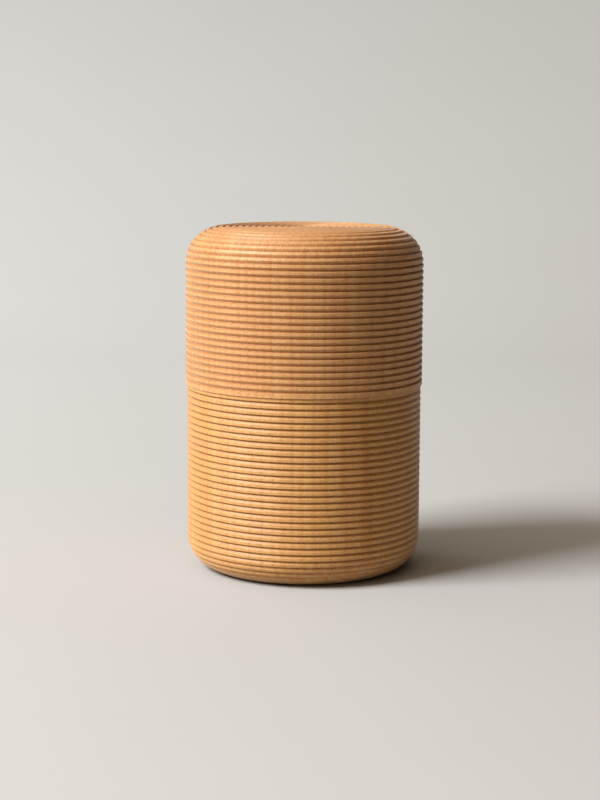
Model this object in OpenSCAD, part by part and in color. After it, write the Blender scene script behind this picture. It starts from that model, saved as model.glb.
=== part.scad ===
// Turned wooden tea caddy: a ribbed vessel with a plain neck, a tall ribbed lid that
// slides over the neck, and a flat inner lid with a knob that closes the neck.
// The origin is the centre of the resting face, and +Z is up. Sizes are millimetres.

/* [Overall size] */
// Widest diameter, over the crests of the lid's ribs
caddy_d = 76; // [75:0.5:84]
// Height from the resting face to the lid's top
caddy_h = 110; // [104:1:130]
// Height of the seam between the body and the lid
seam_z = 59.8; // [55:0.1:64]
// How far the lid stands proud of the body all round
lid_proud = 0.37; // [0.1:0.01:0.6]
// Radius of the lid's rounded shoulder
shoulder_r = 11.5; // [9:0.5:14]
// Radius of the body's rounded lower edge
foot_r = 10.3; // [8:0.1:12]

/* [Ribs] */
// Distance from one rib to the next, measured along the outline
rib_pitch = 2.055; // [1.8:0.005:2.4]
// Depth of the groove between two ribs
rib_depth = 0.7; // [0.3:0.05:0.8]
// Share of the pitch that the steep side of a groove takes
steep_share = 0.14; // [0.1:0.02:0.2]
// Share of the pitch that the sloping side of a groove takes
slope_share = 0.46; // [0.4:0.02:0.56]
// Distance from the seam to the lid's first groove
lid_first_groove = 1.79; // [1.4:0.01:2]
// Distance from the seam to the body's first groove
body_first_groove = 1.42; // [1.2:0.01:2]
// Height above the resting face at which the body's ribs stop
plain_foot_z = 3; // [1:0.5:8]
// Bevel on the two edges that meet at the seam
seam_bevel = 0.15; // [0.1:0.05:0.3]

/* [Body] */
// Diameter of the bore that holds the tea
bore_d = 66; // [60:0.5:67]
// Thickness of the floor under the bore
floor_t = 5; // [4:0.5:8]
// Radius inside the bottom corner
inside_corner_r = 6; // [3:0.5:8]
// Radius of the shallow hollow turned in the underside
base_hollow_r = 22; // [10:0.5:25]
// Depth of that hollow
base_hollow_t = 0.8; // [0.4:0.1:1.5]

/* [Neck and lid fit] */
// Thickness of the neck's wall
neck_t = 2; // [1.5:0.1:2.2]
// Height of the neck above the seam
neck_rise = 22; // [15:0.5:24]
// Gap all round between the neck and the lid
lid_gap = 0.2; // [0.15:0.05:0.3]
// Thickness of the lid's top, under the ribs
lid_top_t = 4; // [3:0.5:5]
// Radius inside the lid's top corner
lid_corner_r = 8.5; // [6:0.5:10]
// Bevel on the edges of the neck's rim and of the lid's mouth
rim_bevel = 0.4; // [0.2:0.1:0.6]

/* [Inner lid] */
// Thickness of the disc that rests on the neck's rim
disc_t = 2.4; // [2:0.1:3]
// Gap all round between the disc's edge and the inside of the lid
disc_gap = 0.6; // [0.4:0.1:1]
// Depth of the plug that drops into the neck
plug_depth = 5; // [3:0.5:6]
// Thickness of the plug's wall
plug_t = 2.6; // [2:0.1:4]
// Gap all round between the plug and the neck
plug_gap = 0.2; // [0.15:0.05:0.3]
// Thickness of the web across the plug
web_t = 3; // [2.5:0.1:3.5]

/* [Knob] */
// Widest diameter of the knob
knob_d = 15; // [13:0.5:17]
// Height of the knob above the disc
knob_h = 9; // [8:0.5:9.5]
// Diameter of the knob's waist
knob_waist_d = 8.4; // [7:0.2:9]
// Diameter of the spigot glued into the disc
spigot_d = 5; // [4:0.5:6]
// Length of the spigot
spigot_l = 2.2; // [1.8:0.1:2.3]

/* [Hidden] */
$fn = 128;

DEGREES = 180 / PI;
ARC_STEPS = 12;
GLUE_GAP = 0.05;
SPIGOT_END_GAP = 0.1;
DISC_ROUND_R = 0.9;
KNOB_EDGE_R = 1.5;
KNOB_CROWN = 1.2;
CENTRE_BUTTON_R = 1.2;

lid_r = caddy_d / 2;
body_r = lid_r - lid_proud;
lid_wall = caddy_h - seam_z - shoulder_r;
body_wall = seam_z - foot_r;
lid_outline_length = lid_wall + shoulder_r * PI / 2 + lid_r - shoulder_r;
plain_foot_turn = asin(1 - plain_foot_z / foot_r);
plain_foot_start = plain_foot_turn + slope_share * rib_pitch / foot_r * DEGREES;
body_ribbed_length = body_wall + foot_r * plain_foot_turn / DEGREES;
bore_r = bore_d / 2;
neck_r = bore_r + neck_t;
neck_top_z = seam_z + neck_rise;
lid_bore_r = neck_r + lid_gap;
lid_inside_z = caddy_h - rib_depth - lid_top_t;
disc_r = lid_bore_r - disc_gap;
disc_top_z = neck_top_z + disc_t;
plug_r = bore_r - plug_gap;
plug_bottom_z = neck_top_z - plug_depth;
knob_r = knob_d / 2;
spigot_r = spigot_d / 2;

// Points of an arc about a centre [radius, height], from one angle to another
function arc(centre, r, from, to) =
    [for (i = [0:ARC_STEPS]) let (a = from + (to - from) * i / ARC_STEPS) centre + r * [cos(a), sin(a)]];

// A point on a ribbed outline: up a wall, round a corner and then inwards to the axis.
// along is measured from the seam, and depth is square to the outline.
function outline_point(along, depth, r, wall, corner) =
    let (turn = (along - wall) / corner * DEGREES)
    turn <= 0 ? [r - depth, along]
    : turn < 90 ? [r - corner + (corner - depth) * cos(turn), wall + (corner - depth) * sin(turn)]
    : [r - corner - (along - wall - corner * PI / 2), wall + corner - depth];

// The grooved outline up to ribbed_length: each groove has a steep side towards the seam
// and a sloping side away from it, with a flat crest between two grooves
function ribbed_outline(first_groove, ribbed_length, r, wall, corner) =
    [for (groove = [first_groove:rib_pitch:ribbed_length])
        for (corner_point = [[-steep_share * rib_pitch, 0], [0, rib_depth], [slope_share * rib_pitch, 0]])
            outline_point(groove + corner_point[0], corner_point[1], r, wall, corner)];

// Turns an outline measured from the seam into heights above the resting face
function above_seam(points) = [for (p = points) [p[0], seam_z + p[1]]];
function below_seam(points) = [for (p = points) [p[0], seam_z - p[1]]];

module turned(outline) {
    rotate_extrude() polygon(outline);
}

module body() {
    ribs = ribbed_outline(body_first_groove, body_ribbed_length, body_r, body_wall, foot_r);
    foot = arc([body_r - foot_r, foot_r], foot_r, -plain_foot_start, -90);
    neck = [
        [neck_r, seam_z],
        [neck_r, neck_top_z - rim_bevel],
        [neck_r - rim_bevel, neck_top_z],
        [bore_r + rim_bevel, neck_top_z],
        [bore_r, neck_top_z - rim_bevel],
    ];
    bore_corner = arc([bore_r - inside_corner_r, floor_t + inside_corner_r], inside_corner_r, 0, -90);
    color("peru") turned(concat(
        neck,
        bore_corner,
        [[0, floor_t], [0, base_hollow_t], [base_hollow_r - base_hollow_t, base_hollow_t], [base_hollow_r, 0]],
        [for (i = [len(foot) - 1:-1:0]) foot[i]],
        [for (i = [len(ribs) - 1:-1:0]) below_seam(ribs)[i]],
        [[body_r, seam_z - seam_bevel], [body_r - seam_bevel, seam_z]]
    ));
}

module lid() {
    last_groove = lid_outline_length - CENTRE_BUTTON_R;
    ribs = ribbed_outline(lid_first_groove, last_groove, lid_r, lid_wall, shoulder_r);
    bore_corner = arc([lid_bore_r - lid_corner_r, lid_inside_z - lid_corner_r], lid_corner_r, 90, 0);
    color("burlywood") turned(concat(
        [[lid_r - seam_bevel, seam_z], [lid_r, seam_z + seam_bevel]],
        above_seam(ribs),
        [[0, caddy_h], [0, lid_inside_z]],
        bore_corner,
        [[lid_bore_r, seam_z + rim_bevel], [lid_bore_r + rim_bevel, seam_z]]
    ));
}

module inner_lid() {
    spigot_hole_r = spigot_r + GLUE_GAP;
    spigot_hole_z = disc_top_z - spigot_l - SPIGOT_END_GAP;
    web_bottom_z = disc_top_z - web_t;
    edge = arc([disc_r - DISC_ROUND_R, disc_top_z - DISC_ROUND_R], DISC_ROUND_R, 0, 90);
    color("tan") turned(concat(
        [[0, web_bottom_z], [plug_r - plug_t, web_bottom_z], [plug_r - plug_t, plug_bottom_z]],
        [[plug_r - rim_bevel, plug_bottom_z], [plug_r, plug_bottom_z + rim_bevel], [plug_r, neck_top_z]],
        [[disc_r - rim_bevel, neck_top_z], [disc_r, neck_top_z + rim_bevel]],
        edge,
        [[spigot_hole_r, disc_top_z], [spigot_hole_r, spigot_hole_z], [0, spigot_hole_z]]
    ));
}

module inner_lid_knob() {
    head_z = knob_h - KNOB_CROWN - KNOB_EDGE_R;
    waist_r = knob_waist_d / 2;
    cove_r = knob_r - KNOB_EDGE_R - waist_r;
    cove_z = head_z - KNOB_EDGE_R - cove_r;
    cove = arc([waist_r + cove_r, cove_z], cove_r, 180, 90);
    rim = arc([knob_r - KNOB_EDGE_R, head_z], KNOB_EDGE_R, -90, 60);
    crown = [for (i = [0:ARC_STEPS]) let (r = (knob_r - KNOB_EDGE_R) * (1 - i / ARC_STEPS))
        [r, knob_h - KNOB_CROWN * pow(r / (knob_r - KNOB_EDGE_R), 2)]];
    color("saddlebrown") translate([0, 0, disc_top_z]) turned(concat(
        [[0, -spigot_l], [spigot_r, -spigot_l], [spigot_r, 0], [waist_r, 0]],
        cove,
        rim,
        crown
    ));
}

body();
lid();
inner_lid();
inner_lid_knob();
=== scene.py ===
"""Looks of a turned wooden tea caddy: ribbed body and lid, inner lid and knob, built as fine
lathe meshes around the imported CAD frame. Lengths are in metres unless a name ends in _MM."""

import math
import random

import bpy
import numpy as np
from mathutils import Euler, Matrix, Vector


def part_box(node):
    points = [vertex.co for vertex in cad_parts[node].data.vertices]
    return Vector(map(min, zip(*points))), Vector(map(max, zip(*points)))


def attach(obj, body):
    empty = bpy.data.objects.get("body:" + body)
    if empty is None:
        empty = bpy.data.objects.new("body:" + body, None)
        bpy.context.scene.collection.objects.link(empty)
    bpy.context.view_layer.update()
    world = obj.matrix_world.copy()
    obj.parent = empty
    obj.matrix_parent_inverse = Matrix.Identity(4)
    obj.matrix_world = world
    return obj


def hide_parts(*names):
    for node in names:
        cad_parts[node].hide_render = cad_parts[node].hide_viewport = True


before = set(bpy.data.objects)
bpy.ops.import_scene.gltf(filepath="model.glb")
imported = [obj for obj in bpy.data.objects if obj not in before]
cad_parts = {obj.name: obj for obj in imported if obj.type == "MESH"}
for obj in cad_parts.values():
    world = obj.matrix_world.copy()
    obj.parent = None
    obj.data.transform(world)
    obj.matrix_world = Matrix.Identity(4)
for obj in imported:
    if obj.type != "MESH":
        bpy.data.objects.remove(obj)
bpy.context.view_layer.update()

MM = 0.001

# ---------------------------------------------------------------- sizes read from the frame


def rings_of(node):
    """Radius and height of every vertex of a CAD node, as two arrays."""
    points = np.array([v.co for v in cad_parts[node].data.vertices], float)
    return np.hypot(points[:, 0], points[:, 1]), points[:, 2]


def radius_between(node, low_z, high_z, pick):
    """The smallest or largest radius that a CAD node has between two heights."""
    radii, heights = rings_of(node)
    return float(pick(radii[(heights > low_z) & (heights < high_z)]))


def height_between(node, low_r, high_r, pick):
    """The lowest or highest point that a CAD node has between two radii."""
    radii, heights = rings_of(node)
    return float(pick(heights[(radii > low_r) & (radii < high_r)]))


lid_low, lid_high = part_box("lid")
body_low, body_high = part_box("body")
disc_low, disc_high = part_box("inner_lid")
knob_low, knob_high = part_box("inner_lid_knob")

SEAM_Z = lid_low.z
TOP_Z = lid_high.z
LID_R = min(lid_high.x, lid_high.y)
BODY_R = min(body_high.x, body_high.y)
NECK_TOP_Z = body_high.z
NECK_R = radius_between("body", SEAM_Z + 2 * MM, NECK_TOP_Z, max)
BORE_R = radius_between("body", SEAM_Z + 2 * MM, NECK_TOP_Z, min)
LID_BORE_R = radius_between("lid", SEAM_Z + 0.2 * MM, SEAM_Z + 1 * MM, min)
LID_INSIDE_Z = height_between("lid", -1, 20 * MM, min)
FLOOR_Z = height_between("body", 0, 26 * MM, max)
DISC_R = min(disc_high.x, disc_high.y)
DISC_TOP_Z = disc_high.z
PLUG_BOTTOM_Z = disc_low.z
PLUG_R = radius_between("inner_lid", PLUG_BOTTOM_Z, NECK_TOP_Z - 0.1 * MM, max)
KNOB_R = min(knob_high.x, knob_high.y)
KNOB_TOP_Z = knob_high.z

# ---------------------------------------------------------------- design values

SHOULDER_R = 11.5 * MM
FOOT_R = 10.3 * MM
RIB_PITCH = 2.055 * MM
RIB_DEPTH = 0.7 * MM
STEEP = 0.14 * RIB_PITCH
SLOPE = 0.46 * RIB_PITCH
LID_FIRST_GROOVE = 1.79 * MM
BODY_FIRST_GROOVE = 1.42 * MM
PLAIN_FOOT_Z = 3 * MM
LID_CORNER_R = 8.5 * MM
BORE_CORNER_R = 6 * MM
CENTRE_BUTTON_R = 1.2 * MM
SEAM_BEVEL = 0.15 * MM
RIM_BEVEL = 0.4 * MM
EASE = 0.12 * MM
BASE_HOLLOW_R = 22 * MM
BASE_HOLLOW_T = 0.8 * MM
WEB_T = 3 * MM
WEB_CORNER_R = 1.6 * MM
PLUG_T = 2.6 * MM
DISC_BEVEL = 0.5 * MM
DISC_ROUND_R = 0.9 * MM
KNOB_EDGE_R = 1.5 * MM
KNOB_CROWN = 1.2 * MM
KNOB_WAIST_R = 4.2 * MM
KNOB_STEPS = 10

# hand turning: how far a groove may stray, and the least share of the full depth that it has
GROOVE_SHIFT_MM = 0.012
GROOVE_LEAST_DEPTH = 0.93
# how much of the painted shade in the grooves the upright wall shows; the flat top shows all of it
GROOVE_SHADE_WALL = 0.3

SEGMENTS = 240
SMALL_SEGMENTS = 96
AXIS_R = 1e-7

random.seed(7)


# ---------------------------------------------------------------- lathe meshes


def arc(centre, radius, start, end, steps):
    """Points of an arc in the (radius, height) plane; angles are in degrees."""
    points = []
    for i in range(steps + 1):
        a = math.radians(start + (end - start) * i / steps)
        points.append((centre[0] + radius * math.cos(a), centre[1] + radius * math.sin(a)))
    return points


def outline_point(along, depth, radius, wall, corner):
    """A point of a ribbed outline: up a wall, round a corner and in to the axis."""
    turn = (along - wall) / corner
    if turn <= 0:
        return radius - depth, along
    if turn < math.pi / 2:
        reach = corner - depth
        return radius - corner + reach * math.cos(turn), wall + reach * math.sin(turn)
    return radius - corner - (along - wall - corner * math.pi / 2), wall + corner - depth


# one groove as (distance from its deepest line, share of the depth, also the share of the painted
# groove shade), with rounded edges
GROOVE = (
    (-STEEP - 0.09 * MM, 0.0),
    (-STEEP + 0.01 * MM, 0.08),
    (-0.09 * MM, 0.8),
    (0.0, 1.0),
    (0.11 * MM, 0.92),
    (0.5 * SLOPE, 0.48),
    (SLOPE - 0.12 * MM, 0.1),
    (SLOPE + 0.08 * MM, 0.0),
)


def ribbed_outline(first_groove, ribbed_length, radius, wall, corner):
    """The grooved outline as (radius, distance from the seam, painted shade in the groove)."""
    points = []
    groove = first_groove
    while groove <= ribbed_length:
        shift = random.uniform(-GROOVE_SHIFT_MM, GROOVE_SHIFT_MM) * MM
        depth = RIB_DEPTH * random.uniform(GROOVE_LEAST_DEPTH, 1.0)
        turn = min(max((groove - wall) / corner, 0), math.pi / 2)
        # painted shade in the groove: only a share of it on the upright wall, all of it on the flat top
        groove_shade_weight = GROOVE_SHADE_WALL + (1 - GROOVE_SHADE_WALL) * math.sin(turn)
        for offset, share in GROOVE:
            r, z = outline_point(groove + shift + offset, share * depth, radius, wall, corner)
            points.append((r, z, share * groove_shade_weight))
        groove += RIB_PITCH
    return points


def plain(points):
    """Marks outline points as lying outside the grooves, with no painted groove shade."""
    return [(r, z, 0.0) for r, z in points]


def outline_normals(outline, closed):
    """Normals that lean to the longer neighbour, so flats stay flat and small edges look eased."""
    points = np.array([(r, z) for r, z, share in outline])
    ahead = np.roll(points, -1, axis=0) - points
    if not closed:
        ahead[-1] = ahead[-2]
    behind = np.roll(ahead, 1, axis=0)
    if not closed:
        behind[0] = ahead[0]
    square = np.column_stack((ahead[:, 1], -ahead[:, 0])) * np.linalg.norm(ahead, axis=1)[:, None]
    square += np.column_stack((behind[:, 1], -behind[:, 0])) * np.linalg.norm(behind, axis=1)[:, None]
    square[points[:, 0] < AXIS_R, 0] = 0
    return square / np.linalg.norm(square, axis=1)[:, None]


def lathe(name, outline, closed=True, segments=SEGMENTS):
    """Turns an outline of (radius, height, painted groove shade) into a smooth mesh of revolution."""
    verts, normals, grooves, faces, rows = [], [], [], [], []
    for (r, z, share), (nr, nz) in zip(outline, outline_normals(outline, closed)):
        count = 1 if r < AXIS_R else segments
        rows.append(range(len(verts), len(verts) + count))
        for i in range(count):
            a = 2 * math.pi * i / segments
            verts.append((r * math.cos(a), r * math.sin(a), z))
            normals.append((nr * math.cos(a), nr * math.sin(a), nz))
            grooves.append(share)
    next_rows = rows[1:] + rows[:1] if closed else rows[1:]
    for here, there in zip(rows, next_rows):
        for i in range(segments):
            j = (i + 1) % segments
            if len(here) == 1 and len(there) == 1:
                break
            if len(here) == 1:
                faces.append((here[0], there[j], there[i]))
            elif len(there) == 1:
                faces.append((here[i], here[j], there[0]))
            else:
                faces.append((here[i], here[j], there[j], there[i]))
    mesh = bpy.data.meshes.new(name)
    mesh.from_pydata(verts, [], faces)
    # the groove attribute carries the painted groove shade to the material
    attribute = mesh.attributes.new("groove", "FLOAT", "POINT")
    attribute.data.foreach_set("value", np.array(grooves, np.float32))
    mesh.shade_smooth()
    mesh.normals_split_custom_set_from_vertices(normals)
    piece = bpy.data.objects.new(name, mesh)
    bpy.context.scene.collection.objects.link(piece)
    return piece


# ---------------------------------------------------------------- pieces


def make_lid():
    """The ribbed cap: its lower edge, ribs up and over to the axis, then its plain inside."""
    wall = TOP_Z - SEAM_Z - SHOULDER_R
    length = wall + SHOULDER_R * math.pi / 2 + LID_R - SHOULDER_R
    ribs = ribbed_outline(LID_FIRST_GROOVE, length - CENTRE_BUTTON_R, LID_R, wall, SHOULDER_R)
    ribs = [(r, SEAM_Z + z, share) for r, z, share in ribs]
    corner = arc((LID_BORE_R - LID_CORNER_R, LID_INSIDE_Z - LID_CORNER_R), LID_CORNER_R, 90, 0, 14)
    edge = [(LID_BORE_R + RIM_BEVEL, SEAM_Z), (LID_R - SEAM_BEVEL, SEAM_Z)]
    edge += [(LID_R - SEAM_BEVEL / 3, SEAM_Z + SEAM_BEVEL / 3), (LID_R, SEAM_Z + SEAM_BEVEL)]
    inside = [(0, TOP_Z), (0, LID_INSIDE_Z), (10 * MM, LID_INSIDE_Z)]
    mouth = [(LID_BORE_R, LID_INSIDE_Z - 20 * MM), (LID_BORE_R, SEAM_Z + RIM_BEVEL)]
    mouth += [(LID_BORE_R + 0.1 * MM, SEAM_Z + 0.15 * MM)]
    outline = plain(edge) + ribs + plain(inside + corner + mouth)
    return lathe("lid_shell", outline)


def make_body():
    """The vessel: its inside floor, hollow base, foot, ribs, shoulder, neck and bore."""
    wall = SEAM_Z - FOOT_R
    foot_turn = math.asin(1 - PLAIN_FOOT_Z / FOOT_R)
    ribs = ribbed_outline(BODY_FIRST_GROOVE, wall + FOOT_R * foot_turn, BODY_R, wall, FOOT_R)
    ribs = [(r, SEAM_Z - z, share) for r, z, share in ribs]
    foot_start = -math.degrees(foot_turn + SLOPE / FOOT_R) - 2
    foot = arc((BODY_R - FOOT_R, FOOT_R), FOOT_R, foot_start, -90, 16)
    shoulder = [(BODY_R, SEAM_Z - SEAM_BEVEL), (BODY_R - SEAM_BEVEL / 3, SEAM_Z - SEAM_BEVEL / 3)]
    shoulder += [(BODY_R - SEAM_BEVEL, SEAM_Z), (NECK_R + SEAM_BEVEL, SEAM_Z)]
    neck = [(NECK_R, SEAM_Z + 0.1 * MM), (NECK_R, SEAM_Z + 8 * MM), (NECK_R, NECK_TOP_Z - RIM_BEVEL)]
    rim = [(NECK_R - EASE, NECK_TOP_Z - EASE), (NECK_R - RIM_BEVEL, NECK_TOP_Z)]
    rim += [(BORE_R + RIM_BEVEL, NECK_TOP_Z), (BORE_R + EASE, NECK_TOP_Z - EASE)]
    bore = [(BORE_R, NECK_TOP_Z - RIM_BEVEL), (BORE_R, FLOOR_Z + 30 * MM)]
    bottom = arc((BORE_R - BORE_CORNER_R, FLOOR_Z + BORE_CORNER_R), BORE_CORNER_R, 0, -90, 12)
    bottom += [(10 * MM, FLOOR_Z), (0, FLOOR_Z), (0, BASE_HOLLOW_T)]
    bottom += [(BASE_HOLLOW_R - 0.8 * MM, BASE_HOLLOW_T), (BASE_HOLLOW_R - 0.2 * MM, 0.5 * MM)]
    bottom += [(BASE_HOLLOW_R, 0.15 * MM), (BASE_HOLLOW_R + 0.2 * MM, 0)]
    outline = plain(bottom + foot[::-1]) + ribs[::-1] + plain(shoulder + neck + rim + bore)
    return lathe("body_vessel", outline)


def make_inner_lid():
    """The disc with a plug under it: web, inside of the plug, plug, disc edge and flat top."""
    web_z = DISC_TOP_Z - WEB_T
    web_corner = (PLUG_R - PLUG_T - WEB_CORNER_R, web_z - WEB_CORNER_R)
    outline = [(0, web_z), (10 * MM, web_z)] + arc(web_corner, WEB_CORNER_R, 90, 0, 6)
    outline += [(PLUG_R - PLUG_T, PLUG_BOTTOM_Z + 0.2 * MM), (PLUG_R - 2.3 * MM, PLUG_BOTTOM_Z)]
    outline += [(PLUG_R - 0.5 * MM, PLUG_BOTTOM_Z), (PLUG_R - 0.15 * MM, PLUG_BOTTOM_Z + EASE)]
    outline += [(PLUG_R, PLUG_BOTTOM_Z + 0.5 * MM), (PLUG_R, NECK_TOP_Z - 0.1 * MM)]
    outline += [(PLUG_R + 0.1 * MM, NECK_TOP_Z), (DISC_R - DISC_BEVEL, NECK_TOP_Z)]
    outline += [(DISC_R - EASE, NECK_TOP_Z + EASE), (DISC_R, NECK_TOP_Z + DISC_BEVEL)]
    outline += arc((DISC_R - DISC_ROUND_R, DISC_TOP_Z - DISC_ROUND_R), DISC_ROUND_R, 0, 90, 6)
    outline += [(DISC_R - 1.6 * MM, DISC_TOP_Z), (12 * MM, DISC_TOP_Z), (0, DISC_TOP_Z)]
    return lathe("inner_lid_disc", plain(outline))


def make_knob():
    """The pull: a waist, a cove under the head, a rounded edge and a low crown."""
    head_r = KNOB_R - KNOB_EDGE_R
    head_z = KNOB_TOP_Z - KNOB_CROWN - KNOB_EDGE_R
    cove_r = head_r - KNOB_WAIST_R
    outline = [(0, DISC_TOP_Z), (KNOB_WAIST_R + 0.25 * MM, DISC_TOP_Z)]
    outline += [(KNOB_WAIST_R, DISC_TOP_Z + 0.3 * MM)]
    cove = (KNOB_WAIST_R + cove_r, head_z - KNOB_EDGE_R - cove_r)
    outline += arc(cove, cove_r, 180, 90, KNOB_STEPS)
    outline += arc((head_r, head_z), KNOB_EDGE_R, -90, 58, KNOB_STEPS)[1:]
    for i in range(1, KNOB_STEPS + 1):
        r = head_r * (1 - i / KNOB_STEPS)
        outline.append((r, KNOB_TOP_Z - KNOB_CROWN * (r / head_r) ** 2))
    return lathe("inner_lid_pull", plain(outline), segments=SMALL_SEGMENTS)


# ---------------------------------------------------------------- materials

# growth rings about the tree's pith, which stands outside the blank; grain sizes are in mm
PITH_MM = (-84.0, 61.0)
RING_PITCH_MM = 2.7
RING_WARP_MM = 14.0
LATE_SHARE, BAND_SHARE, STREAK_SHARE, FIBRE_SHARE = 0.30, 0.28, 0.28, 0.22
SPECK_TINT = (0.8, 0.68, 0.54, 1)
# darkening of level faces: partly the real darker end grain, partly painted shade on the flat top
END_GRAIN_AND_TOP_SHADE_TINT, END_GRAIN_AND_TOP_SHADE_AMOUNT = (0.66, 0.56, 0.46, 1), 0.8
PORE_TINT, PORE_AMOUNT = (0.45, 0.28, 0.16, 1), 0.45
# tint of the painted shade in the grooves
GROOVE_SHADE_TINT = (0.58, 0.4, 0.28, 1)
WOOD_BUMP = {"Strength": 0.35, "Distance": 0.00012}
WOOD_ROUGHNESS = {"To Min": 0.44, "To Max": 0.6}
WOOD_SHEEN = {"Sheen Weight": 0.3, "Sheen Roughness": 0.45, "Sheen Tint": (1.0, 0.88, 0.7, 1)}
PAPER_TONES = (0.435, 0.427, 0.413, 1), (0.446, 0.44, 0.429, 1)
PAPER_SURFACE = {"Roughness": 0.85, "Specular IOR Level": 0.2}


class Graph:
    """Short calls for building a material's node tree."""

    def __init__(self, name):
        self.material = bpy.data.materials.new(name)
        self.material.use_nodes = True
        self.nodes = self.material.node_tree.nodes
        self.links = self.material.node_tree.links
        self.nodes.clear()

    def put(self, kind, inputs=None, **settings):
        node = self.nodes.new(kind)
        for key, value in settings.items():
            setattr(node, key, value)
        for key, value in (inputs or {}).items():
            if isinstance(value, bpy.types.NodeSocket):
                self.links.new(value, node.inputs[key])
            else:
                node.inputs[key].default_value = value
        return node

    def math(self, operation, a, b=0.0, clamp=False):
        return self.put("ShaderNodeMath", {0: a, 1: b}, operation=operation, use_clamp=clamp).outputs[0]

    def noise(self, vector, scale, detail=3.0, roughness=0.5):
        inputs = {"Vector": vector, "Scale": scale, "Detail": detail, "Roughness": roughness}
        return self.put("ShaderNodeTexNoise", inputs).outputs["Fac"]

    def stretched(self, vector, x, y, z, offset=0.0):
        inputs = {"Vector": vector, "Scale": (x, y, z), "Location": (offset, offset, offset)}
        return self.put("ShaderNodeMapping", inputs).outputs[0]

    def ramp(self, factor, low, high):
        inputs = {"Value": factor, "From Min": low, "From Max": high}
        return self.put("ShaderNodeMapRange", inputs, interpolation_type="SMOOTHSTEP").outputs[0]

    def mix(self, factor, a, b, blend="MIX"):
        node = self.put("ShaderNodeMix", data_type="RGBA", blend_type=blend)
        for socket, value in ((node.inputs[0], factor), (node.inputs[6], a), (node.inputs[7], b)):
            if isinstance(value, bpy.types.NodeSocket):
                self.links.new(value, socket)
            else:
                socket.default_value = value
        return node.outputs[2]


def wood(name, light, dark, seed, ribbed):
    """Satin wood with upright grain in solid 3-D: rings, bands, streaks, fibres, pores, flecks, painted
    shade in the grooves, and darker end grain with painted shade on level faces.
    """
    g = Graph(name)
    place = g.put("ShaderNodeTexCoord").outputs["Object"]
    place = g.stretched(place, 1000, 1000, 1000, seed)  # millimetres
    warp = g.noise(g.stretched(place, 0.02, 0.02, 0.004), 1.0, 2.0)
    xyz = g.put("ShaderNodeSeparateXYZ", {"Vector": place})
    dx = g.math("ADD", xyz.outputs[0], -PITH_MM[0])
    dy = g.math("ADD", xyz.outputs[1], -PITH_MM[1])
    square = g.math("ADD", g.math("MULTIPLY", dx, dx), g.math("MULTIPLY", dy, dy))
    ring_r = g.math("ADD", g.math("SQRT", square), g.math("MULTIPLY", warp, RING_WARP_MM))
    phase = g.math("FRACT", g.math("MULTIPLY", ring_r, 1 / RING_PITCH_MM))
    rise = g.ramp(phase, 0.35, 0.93)
    fall = g.math("SUBTRACT", 1.0, g.ramp(phase, 0.94, 1.0))
    late = g.math("MULTIPLY", rise, fall)
    bands = g.noise(g.stretched(place, 0.16, 0.16, 0.006), 1.0, 3.0)
    streaks = g.noise(g.stretched(place, 0.9, 0.9, 0.02), 1.0, 3.0, 0.6)
    fibres = g.noise(g.stretched(place, 4.5, 4.5, 0.25), 1.0, 3.0, 0.65)
    pores = g.ramp(g.noise(g.stretched(place, 6.0, 6.0, 0.9, 40.0), 1.0, 1.0), 0.66, 0.78)
    flecks = g.noise(g.stretched(place, 2.4, 2.4, 1.3, 90.0), 1.0, 2.0, 0.75)
    tone = g.math("MULTIPLY", late, LATE_SHARE)
    tone = g.math("ADD", tone, g.math("MULTIPLY", g.ramp(bands, 0.3, 0.7), BAND_SHARE))
    tone = g.math("ADD", tone, g.math("MULTIPLY", g.ramp(streaks, 0.3, 0.7), STREAK_SHARE))
    tone = g.math("ADD", tone, g.math("MULTIPLY", g.ramp(fibres, 0.3, 0.7), FIBRE_SHARE), True)
    colour = g.mix(tone, light, dark)
    speck = g.ramp(flecks, 0.42, 0.68)
    colour = g.mix(speck, colour, SPECK_TINT, "MULTIPLY")
    normal = g.put("ShaderNodeTexCoord").outputs["Normal"]
    up = g.put("ShaderNodeSeparateXYZ", {"Vector": normal}).outputs[2]
    # level faces darken with the square of their upward lean: partly real end grain, partly painted
    # shade on the flat top
    end = g.math("MULTIPLY", g.math("ABSOLUTE", up), g.math("ABSOLUTE", up))
    colour = g.mix(g.math("MULTIPLY", end, END_GRAIN_AND_TOP_SHADE_AMOUNT), colour, END_GRAIN_AND_TOP_SHADE_TINT, "MULTIPLY")
    colour = g.mix(g.math("MULTIPLY", pores, PORE_AMOUNT), colour, PORE_TINT, "MULTIPLY")
    if ribbed:
        # painted shade in the grooves, made uneven along each groove by a noise
        groove = g.put("ShaderNodeAttribute", attribute_name="groove").outputs["Fac"]
        groove_shade = g.ramp(g.noise(g.stretched(place, 1.5, 1.5, 0.35, 20.0), 1.0, 2.0), 0.3, 0.7)
        groove_shade = g.math("MULTIPLY", groove, g.math("ADD", groove_shade, 0.5), True)
        colour = g.mix(groove_shade, colour, GROOVE_SHADE_TINT, "MULTIPLY")
    height = g.math("SUBTRACT", g.math("MULTIPLY", fibres, 0.6), g.math("MULTIPLY", pores, 0.5))
    bump = g.put("ShaderNodeBump", {"Height": height, **WOOD_BUMP}).outputs[0]
    rough = g.put("ShaderNodeMapRange", {"Value": fibres, **WOOD_ROUGHNESS}).outputs[0]
    inputs = {"Base Color": colour, "Roughness": rough, "Normal": bump, "Specular IOR Level": 0.5}
    shader = g.put("ShaderNodeBsdfPrincipled", {**inputs, **WOOD_SHEEN})
    out = g.put("ShaderNodeOutputMaterial")
    g.links.new(shader.outputs[0], out.inputs[0])
    return g.material


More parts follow.
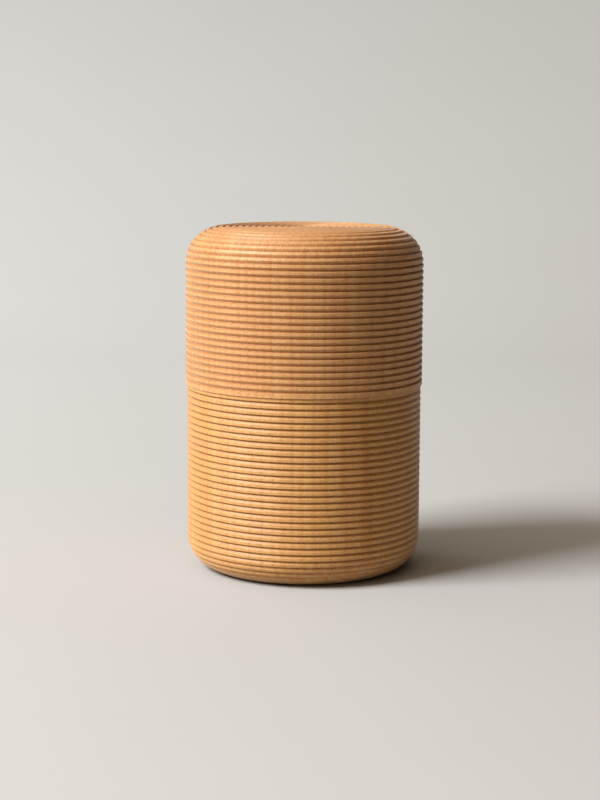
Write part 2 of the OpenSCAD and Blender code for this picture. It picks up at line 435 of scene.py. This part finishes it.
def paper():
    """Pale seamless studio paper with a very faint mottle."""
    g = Graph("studio_paper")
    place = g.put("ShaderNodeTexCoord").outputs["Object"]
    mottle = g.noise(place, 9.0, 4.0)
    colour = g.mix(mottle, *PAPER_TONES)
    shader = g.put("ShaderNodeBsdfPrincipled", {"Base Color": colour, **PAPER_SURFACE})
    out = g.put("ShaderNodeOutputMaterial")
    g.links.new(shader.outputs[0], out.inputs[0])
    return g.material


# ---------------------------------------------------------------- stage, lights and camera

STAGE_FLAT_R = 0.55
STAGE_SWEEP_R = 1.6
NEAR_FLOOR_R = 0.3
KEY_AZIMUTH, KEY_ELEVATION = math.radians(-64), math.radians(42)
KEY_DISTANCE, KEY_SIZE, KEY_WATTS = 1.45, 0.62, 37.7
KEY_COLOUR, BACK_COLOUR = (0.943, 0.964, 1.0), (0.866, 0.949, 1.0)
BACK_PLACE, BACK_TURN = (-0.55, 0.5, 1.1), (math.radians(68), 0, math.radians(-14))
BACK_SIZE, BACK_WATTS = 0.8, 15.2
SKY_CENTRE, SKY_EDGE = (-0.5, -0.1, 0.86), 0.25
SKY_COLOUR, SKY_STRENGTH = (1.0, 0.814, 0.583, 1), 0.864
CAMERA_BACK, CAMERA_UP, CAMERA_LEFT = 0.5969, 0.14395, 0.0017
CAMERA_PITCH, CAMERA_ROLL = math.radians(8.577), math.radians(-0.28)
LENS_MM, SENSOR_MM = 84.05, 36.0


def stage_piece(name, outline, surface):
    piece = lathe(name, plain(outline[::-1]), closed=False, segments=SMALL_SEGMENTS)
    piece.data.materials.append(surface)
    return piece


def make_stage():
    """A round floor and, round it, a gentle sweep up into a backdrop on every side."""
    surface = paper()
    stage_piece("stage_floor", [(0, 0), (NEAR_FLOOR_R, 0)], surface)
    sweep = arc((STAGE_FLAT_R, STAGE_SWEEP_R), STAGE_SWEEP_R, -90, -20, 24)
    far = stage_piece("stage_sweep", [(NEAR_FLOOR_R, 0)] + sweep, surface)
    far.visible_diffuse = False  # the far sweep throws no light back at the caddy


def make_light(name, size, watts, colour, location, rotation):
    light = bpy.data.lights.new(name, "AREA")
    light.shape, light.size, light.energy = "SQUARE", size, watts
    light.color = colour
    lamp = bpy.data.objects.new(name, light)
    lamp.location = location
    lamp.rotation_euler = Euler(rotation)
    bpy.context.scene.collection.objects.link(lamp)


def make_lights():
    """A soft key from the camera's left, and a lamp behind the caddy that faces the backdrop."""
    flat = KEY_DISTANCE * math.cos(KEY_ELEVATION)
    place = (
        flat * math.sin(KEY_AZIMUTH),
        -flat * math.cos(KEY_AZIMUTH),
        KEY_DISTANCE * math.sin(KEY_ELEVATION),
    )
    turn = (math.pi / 2 - KEY_ELEVATION, 0, KEY_AZIMUTH)
    make_light("key", KEY_SIZE, KEY_WATTS, KEY_COLOUR, place, turn)
    make_light("backdrop_lamp", BACK_SIZE, BACK_WATTS, BACK_COLOUR, BACK_PLACE, BACK_TURN)


def make_world():
    """A dim warm sky that is brightest overhead towards the key and dark on the far side."""
    world = bpy.data.worlds.new("studio")
    bpy.context.scene.world = world
    world.use_nodes = True
    nodes, links = world.node_tree.nodes, world.node_tree.links
    direction = nodes.new("ShaderNodeTexCoord")
    facing = nodes.new("ShaderNodeVectorMath")
    facing.operation = "DOT_PRODUCT"
    facing.inputs[1].default_value = SKY_CENTRE
    fade = nodes.new("ShaderNodeMapRange")
    fade.inputs["From Min"].default_value = SKY_EDGE
    fade.inputs["To Max"].default_value = SKY_STRENGTH
    back = nodes["Background"]
    back.inputs["Color"].default_value = SKY_COLOUR
    links.new(direction.outputs["Generated"], facing.inputs[0])
    links.new(facing.outputs["Value"], fade.inputs["Value"])
    links.new(fade.outputs[0], back.inputs["Strength"])


def make_camera():
    data = bpy.data.cameras.new("camera")
    data.lens, data.sensor_width = LENS_MM, SENSOR_MM
    camera = bpy.data.objects.new("camera", data)
    camera.location = (-CAMERA_LEFT, -CAMERA_BACK, CAMERA_UP)
    camera.rotation_euler = Euler((math.pi / 2 - CAMERA_PITCH, CAMERA_ROLL, 0))
    bpy.context.scene.collection.objects.link(camera)
    bpy.context.scene.camera = camera


# ---------------------------------------------------------------- assembly

# maker, CAD node, body, material slot, light tone, dark tone, grain offset, whether it is ribbed
PIECES = (
    (make_body, "body", "root", "body_wood",
     (0.68, 0.385, 0.135, 1), (0.55, 0.25, 0.062, 1), 0.0, True),
    (make_lid, "lid", "lid", "lid_wood",
     (0.71, 0.405, 0.17, 1), (0.585, 0.265, 0.082, 1), 31.0, True),
    (make_inner_lid, "inner_lid", "inner_lid", "inner_wood",
     (0.60, 0.34, 0.145, 1), (0.49, 0.24, 0.08, 1), 57.0, False),
    (make_knob, "inner_lid_knob", "inner_lid", "knob_wood",
     (0.45, 0.23, 0.085, 1), (0.32, 0.14, 0.045, 1), 83.0, False),
)

for make, node, body, slot, light, dark, seed, ribbed in PIECES:
    piece = make()
    piece.data.materials.append(wood(node + "_cherry", light, dark, seed, ribbed))
    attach(piece, body)
    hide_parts(node)

make_stage()
make_lights()
make_world()
make_camera()
bpy.context.scene.view_settings.view_transform = "Standard"
